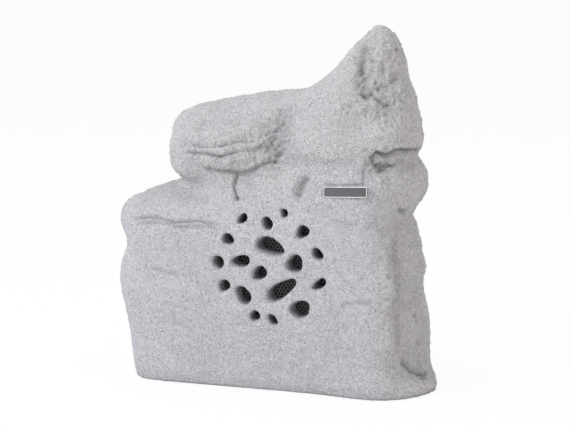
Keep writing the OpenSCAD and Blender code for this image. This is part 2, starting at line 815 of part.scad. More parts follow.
// A lead along its route, as rings of eight points
function unit(v) = v / norm(v);
function ring_at(c, along, r, sides = 8) =
    let (u = unit(cross([0.2, 1, 0.1], along)), v = cross(along, u))
    [for (i = [0:sides - 1]) c + r * (cos(i * 360 / sides) * u + sin(i * 360 / sides) * v)];
function curve_at(p, i, t) =
    let (
        n = len(p) - 1,
        a = p[max(0, i - 1)], b = p[i], c = p[i + 1], d = p[min(n, i + 2)]
    )
    0.5 * (2 * b + t * (c - a) + t * t * (2 * a - 5 * b + 4 * c - d) + t * t * t * (3 * b - a - 3 * c + d));
function smoothed(p, steps) = concat(
    [for (i = [0:len(p) - 2], k = [0:steps - 1]) curve_at(p, i, k / steps)], [p[len(p) - 1]]);

module lead(route, r) {
    path = smoothed(route, 3);
    last = len(path) - 1;
    skin([for (i = [0:last]) ring_at(path[i], unit(path[min(last, i + 1)] - path[max(0, i - 1)]), r)]);
}

module line_leads() {
    color("#7a3030") lead(line_route, lead_r);
}

module speaker_leads() {
    color("#303030") lead(speaker_route, lead_r);
}

module base_plate() {
    color("#3a3b3e") translate([0, 0, base_z]) linear_extrude(plate_t) difference() {
        plate_outline(plate_gap);
        for (p = base_screw_places) translate([p.x, p.y]) circle(r = screw_r + clearance, $fn = 24);
        for (p = foot_places) translate([p.x, p.y]) circle(r = screw_r, $fn = 24);
        for (x = strap_holes) translate([core_x + x, core_y]) circle(r = screw_r, $fn = 24);
        for (x = ear_holes) translate([block_x + x, block_y]) circle(r = screw_r, $fn = 24);
    }
}

module base_gasket() {
    color("#1c1c1e") translate([0, 0, base_z + plate_t]) linear_extrude(gasket_rubber_t) difference() {
        plate_outline(plate_gap + 1);
        plate_outline(plate_gap + ledge_w - 2);
        for (p = base_screw_places) translate([p.x, p.y]) circle(r = screw_r + clearance, $fn = 24);
    }
}

module base_screws() {
    color(steel) for (p = base_screw_places) translate([p.x, p.y, base_z]) mirror([0, 0, 1])
        screw(plate_t + gasket_rubber_t + ledge_t - 5);
}

module rubber_feet() {
    color("#202022") for (p = foot_places) translate([p.x, p.y, 0]) difference() {
        cylinder(r = foot_d / 2, h = foot_h);
        screw_hole(foot_h);
        translate([0, 0, -1]) cylinder(r = 2 * screw_r + 2 * clearance, h = foot_h / 2 + 1, $fn = 32);
    }
}

module foot_screws() {
    color(steel) for (p = foot_places) translate([p.x, p.y, foot_h / 2]) mirror([0, 0, 1])
        screw(foot_h / 2 + plate_t - thread_end);
}

module on_gland() {
    translate([cable_x, pocket_y, pocket_z]) rotate([-90, 0, 0]) children();
}

// Gland body: a hexagon outside the wall and a thread through it
module gland_body() {
    thread_back = wall + locknut_t + 2;
    color(black) on_gland() difference() {
        union() {
            cylinder(r = gland_hex_r, h = gland_flange_t, $fn = 6);
            translate([0, 0, -thread_back])
                cylinder(r = gland_thread_r, h = thread_back + seal_at + seal_l);
        }
        translate([0, 0, -40]) cylinder(r = gland_bore_r, h = 80);
        translate([0, 0, seal_at]) cylinder(r = seal_r + 0.2, h = 40);
    }
}

module gland_locknut() {
    color(black) on_gland() translate([0, 0, -wall - locknut_t]) difference() {
        cylinder(r = gland_hex_r - 1, h = locknut_t, $fn = 6);
        translate([0, 0, -1]) cylinder(r = gland_thread_r + 0.2, h = locknut_t + 2);
    }
}

module gland_nut() {
    half = gland_nut_l / 2;
    color(black) on_gland() translate([0, 0, gland_flange_t + 0.2]) difference() {
        union() {
            cylinder(r = gland_hex_r - 0.5, h = half, $fn = 6);
            translate([0, 0, half]) cylinder(r1 = gland_hex_r - 1.5, r2 = gland_bore_r + 2, h = half);
        }
        translate([0, 0, -1]) cylinder(r = gland_thread_r + 0.2, h = seal_at + seal_l - gland_flange_t + 1.1);
        cylinder(r = gland_bore_r, h = gland_nut_l + 1);
    }
}

module gland_seal() {
    color("#101010") on_gland() translate([0, 0, seal_at]) ring(seal_r, cable_d / 2, seal_l);
}

// Bare plate with a raised rim
module badge_plate() {
    corner = 1.2;
    color("#4a4b50") on_badge() difference() {
        linear_extrude(badge_t) rounded(badge_w, badge_h, corner);
        translate([0, 0, badge_t - 0.8]) linear_extrude(1) rounded(badge_w - 2, badge_h - 2, corner);
    }
}

module rounded(w, h, r) {
    hull() for (x = [-1, 1], y = [-1, 1]) translate([x * (w / 2 - r), y * (h / 2 - r)])
        circle(r = r, $fn = 24);
}

rock_shell();
grille_mesh();
baffle_board();
baffle_screws();
driver_gasket();
driver_basket();
surround();
cone();
dust_cap();
spider();
voice_coil();
front_plate();
magnet_ring();
back_yoke();
driver_screws();
driver_terminals();
transformer_core();
transformer_winding();
transformer_bracket();
transformer_screws();
terminal_block();
terminal_screws();
line_leads();
speaker_leads();
base_plate();
base_gasket();
base_screws();
rubber_feet();
foot_screws();
gland_body();
gland_locknut();
gland_nut();
gland_seal();
badge_plate();
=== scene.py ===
"""Looks of a garden speaker in a hollow artificial rock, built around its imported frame."""

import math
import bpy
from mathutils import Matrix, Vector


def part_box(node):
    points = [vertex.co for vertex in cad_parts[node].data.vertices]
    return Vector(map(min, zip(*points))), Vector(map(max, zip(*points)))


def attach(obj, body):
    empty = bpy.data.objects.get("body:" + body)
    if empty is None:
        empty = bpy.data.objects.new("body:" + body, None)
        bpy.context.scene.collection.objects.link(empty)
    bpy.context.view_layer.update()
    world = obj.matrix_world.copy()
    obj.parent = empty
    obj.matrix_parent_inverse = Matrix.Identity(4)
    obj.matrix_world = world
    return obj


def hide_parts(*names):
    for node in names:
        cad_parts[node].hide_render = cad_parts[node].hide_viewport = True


bl_info = {
    "name": "Garden speaker",
    "version": (1, 0, 0),
    "blender": (4, 5, 0),
    "location": "View3D > Sidebar > Speaker",
    "description": "Stone-finish rock, grille, badge plate and cable gland of a garden speaker",
    "category": "Add Mesh",
}

import bmesh
import bpy
import numpy as np
from bpy.props import FloatProperty, FloatVectorProperty, IntProperty, PointerProperty
from mathutils import Matrix, Vector, noise
from mathutils.bvhtree import BVHTree

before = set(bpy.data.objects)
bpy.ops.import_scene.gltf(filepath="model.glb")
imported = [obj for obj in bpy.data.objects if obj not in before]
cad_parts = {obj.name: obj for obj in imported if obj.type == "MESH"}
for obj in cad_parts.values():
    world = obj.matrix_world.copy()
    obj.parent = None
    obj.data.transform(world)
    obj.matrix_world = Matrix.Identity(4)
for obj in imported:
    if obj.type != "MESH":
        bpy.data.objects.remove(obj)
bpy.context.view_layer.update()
MM = 0.001
# Of the noise that bends the relief: without a seed its offsets change with the time
SEED = 3

# The picture is taken from the right of the front and a little above it.
TURN = math.radians(20)
RISE = math.radians(9)
TOWARDS_CAMERA = Vector(
    (math.sin(TURN) * math.cos(RISE), -math.cos(TURN) * math.cos(RISE), math.sin(RISE))
)


# Settings


class StoneSettings(bpy.types.PropertyGroup):
    pitch: FloatProperty(
        name="Mesh pitch",
        description="Distance between the points of the rock's skin",
        default=1.7 * MM,
        min=1.5 * MM,
        unit="LENGTH",
    )
    softening: IntProperty(
        name="Softening",
        description="Rounds of smoothing that turn the cast form's flats into curves",
        default=22,
        min=0,
    )
    swell: FloatProperty(
        name="Swell",
        description="Height of the broad hollows and humps",
        default=2.6 * MM,
        unit="LENGTH",
    )
    lump: FloatProperty(
        name="Lump",
        description="Height of the lumps of about a thumb's width",
        default=2.0 * MM,
        unit="LENGTH",
    )
    chip: FloatProperty(
        name="Chip",
        description="Height of the broken ridges between the lumps",
        default=2.6 * MM,
        unit="LENGTH",
    )
    pimple: FloatProperty(
        name="Pimple",
        description="Height of the small lumps under the sand finish",
        default=1.3 * MM,
        unit="LENGTH",
    )
    colour: FloatVectorProperty(
        name="Sand colour",
        description="Colour of the sand finish",
        subtype="COLOR",
        default=(0.622, 0.621, 0.675),
        min=0,
        max=1,
    )
    # Painted warm shade: this tint, used where the rock is rough, stands in for the warm cast of light and
    # shade away from the plain face.
    warm_shade_colour: FloatVectorProperty(
        name="Warm sand colour",
        description="Colour of the sand finish away from the plain face",
        subtype="COLOR",
        default=(0.634, 0.618, 0.632),
        min=0,
        max=1,
    )
    # Also the colour of the painted shade in the creases, in the sound holes and along the bottom edge.
    dark_grain_and_shade: FloatVectorProperty(
        name="Dark grain",
        description="Colour of the dark grains in the sand, and of the grime in the creases",
        subtype="COLOR",
        default=(0.13, 0.125, 0.13),
        min=0,
        max=1,
    )
    light_grain: FloatVectorProperty(
        name="Light grain",
        description="Colour of the light grains in the sand",
        subtype="COLOR",
        default=(0.92, 0.91, 0.93),
        min=0,
        max=1,
    )
    grain: FloatProperty(
        name="Grain size",
        description="Size of the largest grains of the sand finish",
        default=1.5 * MM,
        unit="LENGTH",
    )
    crust: FloatProperty(
        name="Crust",
        description="Height of the finest crust, which is shaded and not modelled",
        default=4.0 * MM,
        unit="LENGTH",
    )
    most_triangles: IntProperty(
        name="Most triangles",
        description="The rock's skin is thinned to this number",
        default=190_000,
        min=1000,
    )


class BadgeSettings(bpy.types.PropertyGroup):
    rim: FloatProperty(
        name="Rim width",
        description="Width of the bright rim around the bare plate",
        default=0.9 * MM,
        unit="LENGTH",
    )
    field: FloatVectorProperty(
        name="Field colour",
        description="Colour of the plate inside its rim",
        subtype="COLOR",
        default=(0.075, 0.076, 0.08),
        min=0,
        max=1,
    )


class StageSettings(bpy.types.PropertyGroup):
    distance: FloatProperty(
        name="Camera distance",
        description="From the camera to the middle of the picture",
        default=3.0,
        unit="LENGTH",
    )
    aim: FloatProperty(
        name="Aim height",
        description="Height of the picture's middle above the floor",
        default=0.217,
        unit="LENGTH",
    )
    lens: FloatProperty(
        name="Lens", description="Focal length in millimetres", default=145.8
    )
    sky: FloatProperty(
        name="Sky", description="Strength of the even light all around", default=0.72
    )
    lamp: FloatProperty(
        name="Main lamp",
        description="Power of the soft lamp above the front left, in watts",
        default=46.0,
    )


SETTINGS = {
    "speaker_stone": StoneSettings,
    "speaker_badge": BadgeSettings,
    "speaker_stage": StageSettings,
}


# Shader nodes


def give(tree, *pairs):
    """Links each socket to its value, or sets it where the value is a constant."""
    for socket, value in pairs:
        if isinstance(value, bpy.types.NodeSocket):
            tree.links.new(value, socket)
        else:
            socket.default_value = value


def place(tree, kind, values=None, **traits):
    """A node of that kind with its traits and the values of its sockets set."""
    made = tree.nodes.new(kind)
    for name, value in traits.items():
        setattr(made, name, value)
    give(tree, *((made.inputs[name], value) for name, value in (values or {}).items()))
    return made


def mixed(tree, share, first, second):
    """The colour between two colours."""
    mix = place(tree, "ShaderNodeMix", data_type="RGBA")
    # By number, because the node has sockets of the same name for numbers, vectors and colours
    give(tree, (mix.inputs[0], share), (mix.inputs[6], first), (mix.inputs[7], second))
    return mix.outputs[2]


def ramp(tree, value, low, high):
    """How far a value has come from low to high, eased and held between 0 and 1."""
    mapped = place(
        tree,
        "ShaderNodeMapRange",
        {"Value": value, "From Min": low, "From Max": high},
        interpolation_type="SMOOTHSTEP",
    )
    return mapped.outputs["Result"]


def sums(tree, operation, first, *others):
    """The numbers taken together by one operation, one after the other."""
    total = first
    for other in others:
        made = place(tree, "ShaderNodeMath", operation=operation)
        give(tree, (made.inputs[0], total), (made.inputs[1], other))
        total = made.outputs[0]
    return total


def new_group(name, inputs, outputs):
    """An empty node group with named sockets, and its two end nodes."""
    group = bpy.data.node_groups.new(name, "ShaderNodeTree")
    for title, kind, value in inputs:
        socket = group.interface.new_socket(title, in_out="INPUT", socket_type=kind)
        if value is not None:
            socket.default_value = value
    for title, kind in outputs:
        group.interface.new_socket(title, in_out="OUTPUT", socket_type=kind)
    start = group.nodes.new("NodeGroupInput")
    end = group.nodes.new("NodeGroupOutput")
    return group, start, end


def grains_group():
    """Sand of two grain sizes in three shades, with its height."""
    group, start, end = new_group(
        "Sand grains",
        [
            ("Vector", "NodeSocketVector", None),
            ("Grain", "NodeSocketFloat", 1.6 * MM),
            ("Base", "NodeSocketColor", (0.5, 0.5, 0.5, 1)),
            ("Dark", "NodeSocketColor", (0.2, 0.2, 0.2, 1)),
            ("Light", "NodeSocketColor", (0.8, 0.8, 0.8, 1)),
            ("Dark Share", "NodeSocketFloat", 0.17),
            ("Light Share", "NodeSocketFloat", 0.3),
        ],
        [("Color", "NodeSocketColor"), ("Height", "NodeSocketFloat")],
    )
    colour = start.outputs["Base"]
    scale = sums(group, "DIVIDE", 1.0, start.outputs["Grain"])
    height = 0.0
    for finer, strength in ((0.8, 0.7), (1.3, 0.8)):
        cells = place(
            group,
            "ShaderNodeTexVoronoi",
            {
                "Vector": start.outputs["Vector"],
                "Scale": sums(group, "MULTIPLY", scale, finer),
                "Randomness": 1.0,
            },
            feature="F1",
        )
        shade = place(group, "ShaderNodeSeparateColor", {"Color": cells.outputs["Color"]})
        dark = sums(group, "LESS_THAN", shade.outputs[0], start.outputs["Dark Share"])
        light = sums(group, "LESS_THAN", shade.outputs[1], start.outputs["Light Share"])
        body = ramp(group, cells.outputs["Distance"], 0.55, 0.25)
        for chosen, tint in ((light, "Light"), (dark, "Dark")):
            share = sums(group, "MULTIPLY", chosen, body, strength)
            colour = mixed(group, share, colour, start.outputs[tint])
        lump = sums(group, "MULTIPLY", body, shade.outputs[2], strength)
        height = sums(group, "ADD", height, lump)
    group.links.new(colour, end.inputs["Color"])
    group.links.new(height, end.inputs["Height"])
    return group


def mottle_group():
    """Slow change of shade over a surface."""
    group, start, end = new_group(
        "Mottle",
        [
            ("Vector", "NodeSocketVector", None),
            ("Size", "NodeSocketFloat", 60 * MM),
            ("Color", "NodeSocketColor", (0.5, 0.5, 0.5, 1)),
            ("Other", "NodeSocketColor", (0.4, 0.4, 0.4, 1)),
            ("Amount", "NodeSocketFloat", 0.3),
        ],
        [("Color", "NodeSocketColor")],
    )
    scale = sums(group, "DIVIDE", 1.0, start.outputs["Size"])
    cloud = place(
        group,
        "ShaderNodeTexNoise",
        {"Vector": start.outputs["Vector"], "Scale": scale, "Detail": 4.0, "Roughness": 0.6},
    )
    amount = sums(group, "MULTIPLY", ramp(group, cloud.outputs["Fac"], 0.35, 0.68), start.outputs["Amount"])
    colour = mixed(group, amount, start.outputs["Color"], start.outputs["Other"])
    group.links.new(colour, end.inputs["Color"])
    return group


def texture_group():
    """Fine moulded, cast or rolled texture, stretched as its maker's tool leaves it."""
    group, start, end = new_group(
        "Surface texture",
        [
            ("Vector", "NodeSocketVector", None),
            ("Size", "NodeSocketFloat", 0.6 * MM),
            ("Stretch", "NodeSocketVector", (1, 1, 1)),
            ("Roughness Low", "NodeSocketFloat", 0.4),
            ("Roughness High", "NodeSocketFloat", 0.6),
        ],
        [("Height", "NodeSocketFloat"), ("Roughness", "NodeSocketFloat")],
    )
    scaled = place(group, "ShaderNodeVectorMath", operation="MULTIPLY")
    group.links.new(start.outputs["Vector"], scaled.inputs[0])
    group.links.new(start.outputs["Stretch"], scaled.inputs[1])
    fine = place(
        group,
        "ShaderNodeTexNoise",
        {
            "Vector": scaled.outputs[0],
            "Scale": sums(group, "DIVIDE", 1.0, start.outputs["Size"]),
            "Detail": 3.0,
            "Roughness": 0.6,
        },
    )
    slow = place(
        group,
        "ShaderNodeTexNoise",
        {
            "Vector": scaled.outputs[0],
            "Scale": sums(group, "DIVIDE", 0.06, start.outputs["Size"]),
            "Detail": 3.0,
        },
    )
    both = sums(
        group,
        "ADD",
        sums(group, "MULTIPLY", fine.outputs["Fac"], 0.35),
        sums(group, "MULTIPLY", slow.outputs["Fac"], 0.65),
    )
    rough = place(
        group,
        "ShaderNodeMapRange",
        {
            "Value": both,
            "From Min": 0.3,
            "From Max": 0.7,
            "To Min": start.outputs["Roughness Low"],
            "To Max": start.outputs["Roughness High"],
        },
    )
    group.links.new(fine.outputs["Fac"], end.inputs["Height"])
    group.links.new(rough.outputs["Result"], end.inputs["Roughness"])
    return group


GROUPS = {"Sand grains": grains_group, "Mottle": mottle_group, "Surface texture": texture_group}


def use_group(tree, name, values):
    """A shared group with the values of its sockets set; the group is made when it is first used."""
    group = bpy.data.node_groups.get(name) or GROUPS[name]()
    return place(tree, "ShaderNodeGroup", values, node_tree=group)


def new_material(name):
    """A material with its shader and output, and where its patterns start from."""
    material = bpy.data.materials.get(name) or bpy.data.materials.new(name)
    material.use_nodes = True
    tree = material.node_tree
    tree.nodes.clear()
    shader = tree.nodes.new("ShaderNodeBsdfPrincipled")
    output = tree.nodes.new("ShaderNodeOutputMaterial")
    tree.links.new(shader.outputs[0], output.inputs["Surface"])
    where = tree.nodes.new("ShaderNodeTexCoord").outputs["Object"]
    return material, tree, shader, where


def raise_bump(tree, shader, height, distance, strength=1.0):
    bump = place(tree, "ShaderNodeBump", {"Height": height, "Distance": distance, "Strength": strength})
    tree.links.new(bump.outputs[0], shader.inputs["Normal"])


def opaque(colour):
    return (colour[0], colour[1], colour[2], 1.0)


def stone_material(look):
    """Sand finish: bluish on the plain face, with a painted warm shade tint where the rock is rough, and
    painted shade darkening its creases.
    """
    material, tree, shader, where = new_material("stone")
    # Painted warm shade tint where the rock is rough.
    warm = place(tree, "ShaderNodeAttribute", attribute_name="warm").outputs["Fac"]
    cast = mixed(tree, warm, opaque(look.colour), opaque(look.warm_shade_colour))
    rows = use_group(
        tree,
        "Mottle",
        {
            "Vector": where,
            "Size": 55 * MM,
            "Color": cast,
            "Other": opaque([c * share for c, share in zip(look.colour, (0.88, 0.87, 0.83))]),
            "Amount": 0.6,
        },
    )
    clumps = use_group(
        tree,
        "Mottle",
        {
            "Vector": where,
            "Size": 5 * MM,
            "Color": rows.outputs["Color"],
            "Other": opaque([c * 0.74 for c in look.colour]),
            "Amount": 0.6,
        },
    )
    sand = use_group(
        tree,
        "Sand grains",
        {
            "Vector": where,
            "Grain": look.grain,
            "Base": clumps.outputs["Color"],
            "Dark": opaque(look.dark_grain_and_shade),
            "Light": opaque(look.light_grain),
        },
    )
    # Painted shade: the hollow mask darkens the sand towards the dark grain colour in creases, in the sound
    # holes and along the bottom edge.
    hollow = place(tree, "ShaderNodeAttribute", attribute_name="hollow").outputs["Fac"]
    shaded_sand = mixed(tree, sums(tree, "MULTIPLY", hollow, 0.7), sand.outputs["Color"], opaque(look.dark_grain_and_shade))
    tree.links.new(shaded_sand, shader.inputs["Base Color"])
    shader.inputs["Roughness"].default_value = 0.93
    shader.inputs["Specular IOR Level"].default_value = 0.25
    crust = place(
        tree,
        "ShaderNodeTexNoise",
        {"Vector": where, "Scale": 300.0, "Detail": 4.0, "Roughness": 0.8},
    )
    grains = sums(tree, "MULTIPLY", sand.outputs["Height"], 0.2)
    raise_bump(tree, shader, sums(tree, "ADD", crust.outputs["Fac"], grains), look.crust, 0.9)
    return material


# Colour, other colour, metallic, roughness low and high, texture size in millimetres, its stretch, and its
# height in millimetres
FINISHES = {
    "grille": ((0.13, 0.13, 0.135), (0.09, 0.09, 0.095), 0.0, 0.42, 0.60, 0.5, (1, 1, 1), 0.02),
    "board": ((0.30, 0.19, 0.10), (0.20, 0.12, 0.065), 0.0, 0.62, 0.80, 1.2, (1, 1, 0.2), 0.10),
    "steel": ((0.52, 0.52, 0.50), (0.42, 0.42, 0.42), 1.0, 0.28, 0.46, 0.4, (1, 1, 1), 0.01),
    "seal_rubber": ((0.022, 0.022, 0.023), (0.035, 0.035, 0.036), 0.0, 0.66, 0.82, 0.5, (1, 1, 1), 0.03),
    "basket": ((0.030, 0.031, 0.033), (0.045, 0.045, 0.047), 0.0, 0.38, 0.56, 0.8, (1, 1, 1), 0.03),
    "roll_rubber": ((0.018, 0.018, 0.019), (0.030, 0.030, 0.031), 0.0, 0.50, 0.70, 0.6, (1, 1, 1), 0.02),
    "cone_paper": ((0.055, 0.053, 0.050), (0.085, 0.082, 0.076), 0.0, 0.74, 0.92, 1.1, (1, 1, 1), 0.08),
    "spider_cloth": ((0.50, 0.33, 0.12), (0.38, 0.24, 0.09), 0.0, 0.78, 0.92, 0.5, (1, 1, 1), 0.08),
    "copper": ((0.72, 0.32, 0.15), (0.55, 0.23, 0.10), 1.0, 0.30, 0.48, 0.3, (1, 6, 1), 0.02),
    "ferrite": ((0.055, 0.055, 0.058), (0.085, 0.083, 0.082), 0.0, 0.55, 0.78, 0.7, (1, 1, 1), 0.05),
    "brass_tag": ((0.66, 0.60, 0.42), (0.52, 0.46, 0.30), 1.0, 0.28, 0.44, 0.4, (1, 1, 1), 0.01),
    "lamination": ((0.20, 0.20, 0.21), (0.13, 0.11, 0.10), 1.0, 0.45, 0.66, 0.5, (1, 8, 1), 0.06),
    "winding_tape": ((0.58, 0.47, 0.16), (0.50, 0.39, 0.12), 0.0, 0.34, 0.50, 1.5, (1, 1, 1), 0.03),
    "block_plastic": ((0.045, 0.046, 0.048), (0.060, 0.060, 0.062), 0.0, 0.46, 0.60, 0.5, (1, 1, 1), 0.02),
    "lead_red": ((0.42, 0.020, 0.018), (0.34, 0.016, 0.015), 0.0, 0.42, 0.56, 0.8, (1, 1, 1), 0.01),
    "lead_black": ((0.016, 0.016, 0.017), (0.026, 0.026, 0.027), 0.0, 0.42, 0.56, 0.8, (1, 1, 1), 0.01),
    "base_plastic": ((0.085, 0.086, 0.088), (0.105, 0.105, 0.105), 0.0, 0.52, 0.70, 0.9, (1, 1, 1), 0.06),
    "foot_rubber": ((0.024, 0.024, 0.025), (0.055, 0.052, 0.048), 0.0, 0.70, 0.88, 0.6, (1, 1, 1), 0.04),
    "gland_plastic": ((0.035, 0.036, 0.038), (0.050, 0.050, 0.052), 0.0, 0.40, 0.56, 0.5, (1, 1, 1), 0.02),
}


def finish_material(name, finish, cloud=18 * MM, amount=0.8):
    """A material of a finish, whose shade changes in clouds of that size and by that amount."""
    colour, other, metallic, low, high, size, stretch, bump = finish
    material, tree, shader, where = new_material(name)
    shade = use_group(
        tree,
        "Mottle",
        {
            "Vector": where,
            "Size": cloud,
            "Color": opaque(colour),
            "Other": opaque(other),
            "Amount": amount,
        },
    )
    texture = use_group(
        tree,
        "Surface texture",
        {
            "Vector": where,
            "Size": size * MM,
            "Stretch": stretch,
            "Roughness Low": low,
            "Roughness High": high,
        },
    )
    tree.links.new(shade.outputs["Color"], shader.inputs["Base Color"])
    tree.links.new(texture.outputs["Roughness"], shader.inputs["Roughness"])
    shader.inputs["Metallic"].default_value = metallic
    raise_bump(tree, shader, texture.outputs["Height"], bump * MM)
    return material


# Rock


# Broad moves of the skin along its normal, in millimetres: the middle, the reach, and how far out or in.
SWELLS = {
    "upper block, end of its belly": ((-22, -78, 316), (26, 40, 24), 3.5),
    "upper block, dimple in its top": ((-72, -10, 345), (34, 30, 20), -3.0),
    "upper block, underside": ((-50, -85, 272), (60, 40, 10), -2.5),
    "lump under the upper block": ((10, -85, 268), (30, 40, 14), 3.0),
    "left block's face": ((-150, -95, 232), (40, 40, 9), 2.5),
    "head, side of its fold": ((96, -55, 400), (20, 40, 34), 4.0),
    "head, cheek": ((158, -30, 398), (20, 40, 28), 4.5),
    "head, brow over the cleft": ((150, -60, 332), (34, 40, 13), 5.0),
    "head, hollow of its throat": ((60, -75, 372), (26, 40, 26), -3.0),
    "side boulder": ((166, -50, 270), (22, 40, 26), 6.0),
    "toe": ((200, -24, 12), (26, 50, 13), 6.5),
    "neck over the toe": ((188, 0, 46), (26, 60, 18), -7.0),
    "hollow over the sound holes": ((-40, -98, 238), (22, 20, 9), -2.5),
    "back, upper hollow": ((10, 85, 270), (60, 40, 34), -4.0),
    "back, left hump": ((-120, 95, 120), (50, 40, 60), 4.0),
    "back, right hump": ((90, 95, 90), (60, 40, 46), 4.0),
}

# How much rougher than the plain face the skin is: the middle, the reach and the share.
ROUGH_PLACES = {
    "upper block's front": ((-50, -85, 302), (75, 40, 24), 0.7),
    "band beside the upper block": ((12, -60, 330), (20, 40, 40), 1.1),
    "head": ((140, -40, 400), (46, 60, 66), 0.9),
    "cleft": ((150, -60, 296), (24, 40, 18), 1.4),
    "edge between the face and the side": ((168, -74, 120), (14, 24, 110), 1.3),
    "side": ((172, 10, 120), (20, 70, 110), 0.5),
    "toe": ((190, -30, 14), (34, 44, 20), 0.7),
}

# Creases and cracks of the rock, and ridges with a depth below 0, in millimetres: the width, the depth,
# the lip above it, how much painted shade darkens it, and the line's points.
STROKES = {
    "upper block, upper crease": (
        1.9, 2.6, 1.0, 0.5,
        [(-100, -82, 314), (-65, -88, 313), (-33, -78, 320), (-18, -77, 321)],
    ),
    "upper block, lower crease": (
        2.3, 3.5, 1.6, 0.6,
        [
            (-108, -84, 304), (-74, -93, 304), (-54, -92, 300), (-27, -85, 308), (-10, -80, 310),
            (-1, -72, 318),
        ],
    ),
    "upper block, underside": (
        3.2, 3.8, 1.6, 0.5,
        [
            (-84, -86, 284), (-62, -84, 280), (-34, -77, 277), (-23, -75, 279), (-9, -79, 286),
            (8, -74, 294), (26, -70, 296),
        ],
    ),
    "upright crack": (1.9, 3.8, 0.4, 0.9, [(-36, -77, 276), (-40, -80, 262), (-33, -87, 247)]),
    "crack's drop": (4.5, 3.0, 0.4, 0.7, [(-34, -86, 250), (-34, -87, 245)]),
    "pit by the badge": (5.0, 4.5, 0.8, 0.7, [(60, -84, 280), (53, -84, 270), (49, -90, 254)]),
    "lower ledge crease": (
        2.0, 2.6, 1.2, 0.6,
        [(-175, -92, 214), (-143, -95, 219), (-115, -98, 214), (-82, -95, 217), (-55, -96, 214)],
    ),
    "lower ledge second crease": (
        2.0, 2.0, 0.6, 0.5,
        [(-171, -95, 209), (-134, -98, 213), (-106, -100, 209), (-73, -96, 212), (-49, -98, 208)],
    ),
    "left faint crease": (2.8, 1.4, 0.6, 0.3, [(-155, -98, 155), (-125, -100, 148), (-89, -100, 145)]),
    "cleft": (
        3.0, 6.0, 2.5, 1.0,
        [
            (136, -72, 300), (145, -70, 311), (155, -60, 308), (167, -50, 313), (175, -21, 309),
            (174, 19, 306), (166, 44, 300),
        ],
    ),
    "cleft's shade": (8.0, 5.0, 0.0, 0.8, [(139, -72, 303), (146, -60, 293), (152, -56, 286)]),
    "mould line": (1.5, 1.4, 0.3, 0.6, [(85, -91, 272), (112, -88, 272), (138, -78, 273)]),
    "upright mould line": (1.5, 1.4, 0.3, 0.6, [(130, -72, 291), (133, -81, 274)]),
    "right faint crease": (2.4, 1.5, 0.6, 0.3, [(97, -95, 227), (113, -93, 224), (130, -89, 223)]),
    "lower right faint crease": (
        2.4, 1.5, 0.6, 0.3,
        [(109, -98, 114), (114, -98, 122), (135, -96, 126), (152, -95, 125)],
    ),
    "head's fold": (
        8.0, 5.0, 1.5, 0.4,
        [(118, -30, 446), (119, -40, 424), (120, -46, 412), (125, -52, 388), (131, -52, 372)],
    ),
    "crescent": (2.4, 3.8, 2.0, 0.7, [(131, -50, 386), (141, -52, 376), (150, -47, 369), (157, -41, 369)]),
    "upper block, front edge of its top": (
        3.4, -5.4, 0.0, 0.0,
        [(-129, -56, 326), (-86, -76, 327), (-44, -74, 329), (-14, -62, 337), (6, -48, 354), (20, -34, 366)],
    ),
    "upper block, under that edge": (
        6.5, 5.2, 0.0, 0.15,
        [(-129, -62, 311), (-86, -84, 316), (-44, -82, 317), (-10, -72, 324), (10, -56, 340)],
    ),
    "upper block, back of that edge": (
        11.0, 4.6, 0.0, 0.0,
        [(-104, -44, 336), (-76, -46, 335), (-48, -44, 338), (-14, -36, 350)],
    ),
    "band beside the upper block": (
        16.0, 6.5, 0.0, 0.22,
        [(22, -36, 366), (18, -50, 350), (12, -62, 332), (12, -70, 315), (22, -71, 298)],
    ),
    "head's ridge": (4.5, -3.4, 0.0, 0.0, [(110, -27, 442), (122, -40, 424), (130, -47, 402)]),
    "head's right fold": (7.0, 3.6, 0.0, 0.2, [(134, -51, 382), (148, -42, 390), (159, -15, 403)]),
    "side boulder's edge": (
        5.0, -3.2, 0.0, 0.0,
        [(169, -6, 298), (174, -7, 288), (180, -22, 275), (179, -27, 261), (173, -34, 242)],
    ),
    "throat's line": (6.0, 2.4, 0.6, 0.2, [(28, -80, 300), (62, -86, 300), (98, -86, 298), (128, -78, 302)]),
    "peak's pit": (2.4, 3.4, 0.3, 1.0, [(152, -10, 437), (154, -9, 435)]),
    "edge between the face and the side": (
        7.0, -3.5, 0.0, 0.0,
        [(156, -51, 215), (161, -70, 190), (168, -83, 142), (168, -82, 91), (167, -82, 52)],
    ),
    "valley in the side": (
        9.0, 6.0, 0.0, 0.25,
        [(162, -36, 212), (168, -46, 171), (169, -40, 132), (173, -48, 99), (177, -56, 67), (178, -48, 46)],
    ),
    "ridge in the side": (
        12.0, -5.0, 0.0, 0.0,
        [(164, 20, 205), (169, 17, 170), (168, 30, 120), (176, 20, 78), (178, 12, 39)],
    ),
    "foot's crease": (
        4.0, 6.0, 1.0, 0.9,
        [(178, -46, 46), (180, -34, 40), (184, -27, 31), (189, -21, 25), (198, -10, 22)],
    ),
    "foot's slit": (2.2, 3.0, 0.5, 1.0, [(193, -32, 20), (196, -21, 18)]),
    "notch": (4.0, 4.5, 1.0, 0.7, [(167, -49, 239), (166, -23, 231), (161, 13, 224)]),
}


def numbers_of(mesh, attribute, width):
    values = np.zeros(len(mesh.vertices) * width, np.float32)
    mesh.vertices.foreach_get(attribute, values)
    return values.reshape(-1, width).astype(float)


def hold_modifier_result(piece):
    """Turns the piece's modifiers into its mesh."""
    evaluated = piece.evaluated_get(bpy.context.evaluated_depsgraph_get())
    result = bpy.data.meshes.new_from_object(evaluated)
    old = piece.data
    piece.modifiers.clear()
    piece.data = result
    result.name = piece.name
    bpy.data.meshes.remove(old)


def new_piece(name, mesh):
    piece = bpy.data.objects.new(name, mesh)
    bpy.context.scene.collection.objects.link(piece)
    return piece


